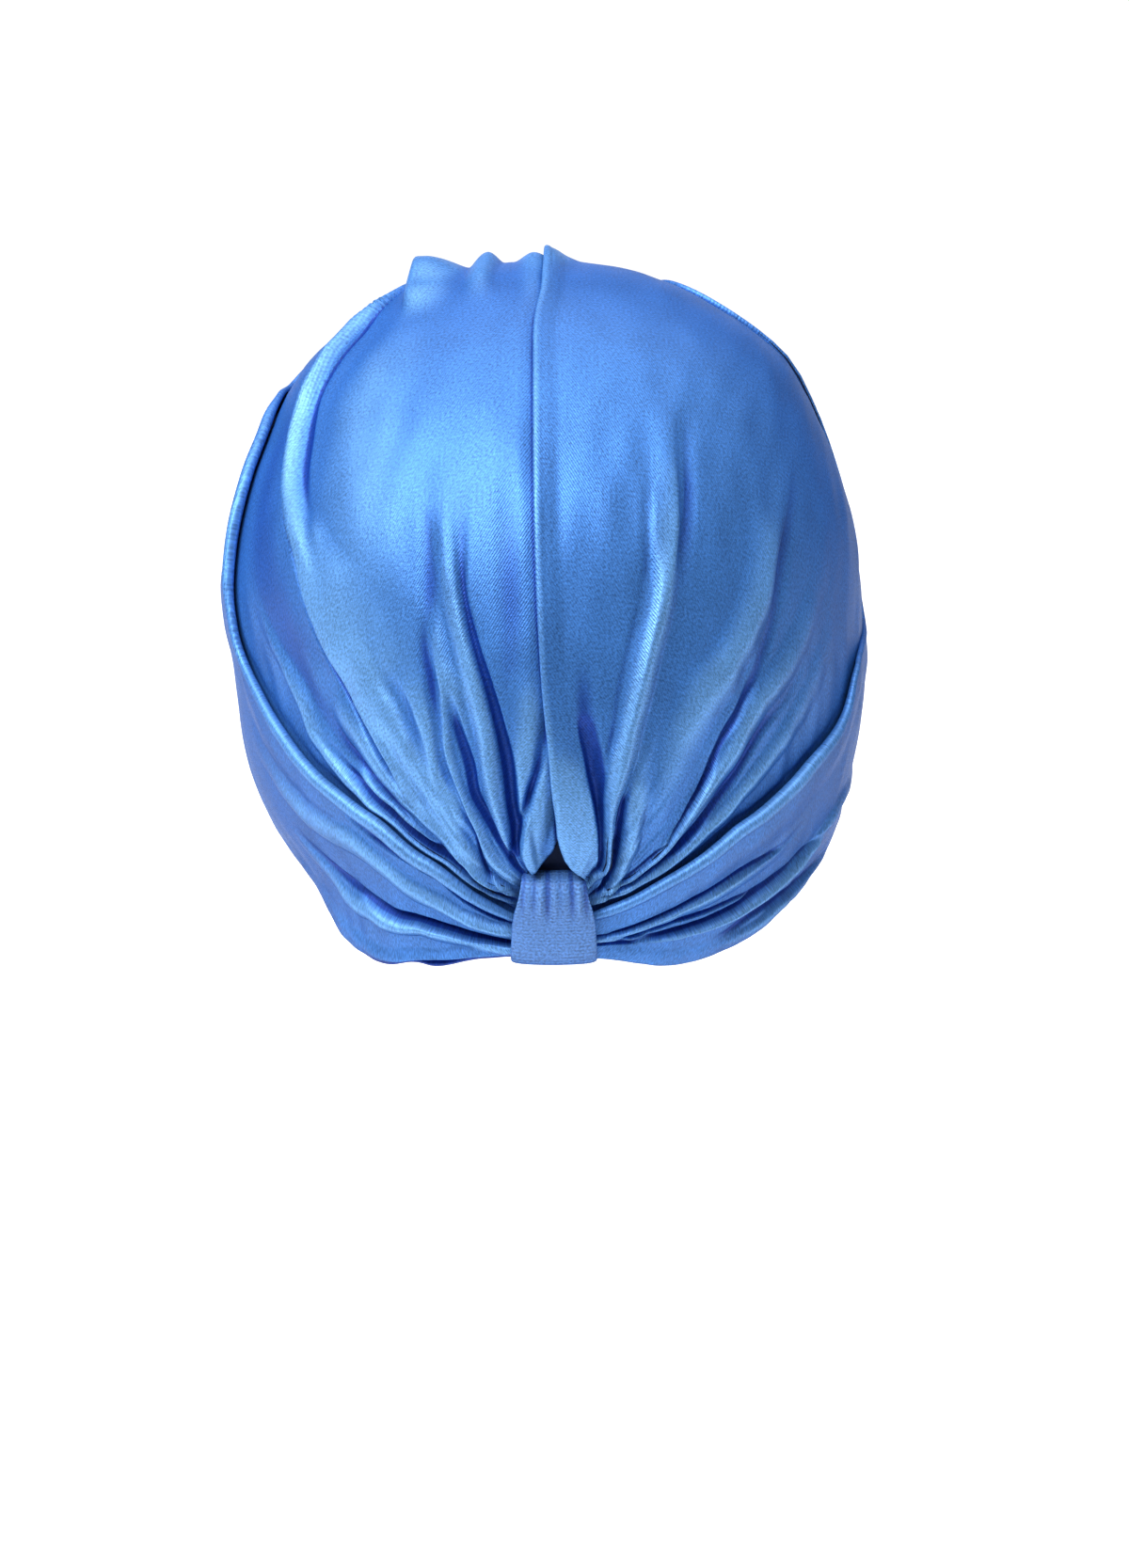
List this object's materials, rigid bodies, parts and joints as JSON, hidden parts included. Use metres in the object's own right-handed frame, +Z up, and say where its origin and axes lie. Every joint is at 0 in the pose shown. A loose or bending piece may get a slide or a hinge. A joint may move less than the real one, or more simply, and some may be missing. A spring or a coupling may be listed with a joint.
{
  "type": "turban headwrap",
  "caption": "Gathered stretch-knit turban cap in worn shape, with a back seam, rolled side wraps and a ribbed loop at the nape.",
  "frame": {"origin": "the point inside the crown that rests on top of the head", "axes": "+Y the way the wearer faces, +X the wearer's right, +Z up"},
  "size_m": [0.1756, 0.2019, 0.1866],
  "materials": {
    "satin_knit": "blue satin knit with a soft sheen",
    "ribbed_knit": "blue ribbed knit, duller than the cap"
  },
  "bodies": {
    "root": {"crown_left": "satin_knit", "crown_right": "satin_knit", "wrap_left": "satin_knit", "wrap_right": "satin_knit", "nape_tab": "ribbed_knit"}
  },
  "joints": []
}
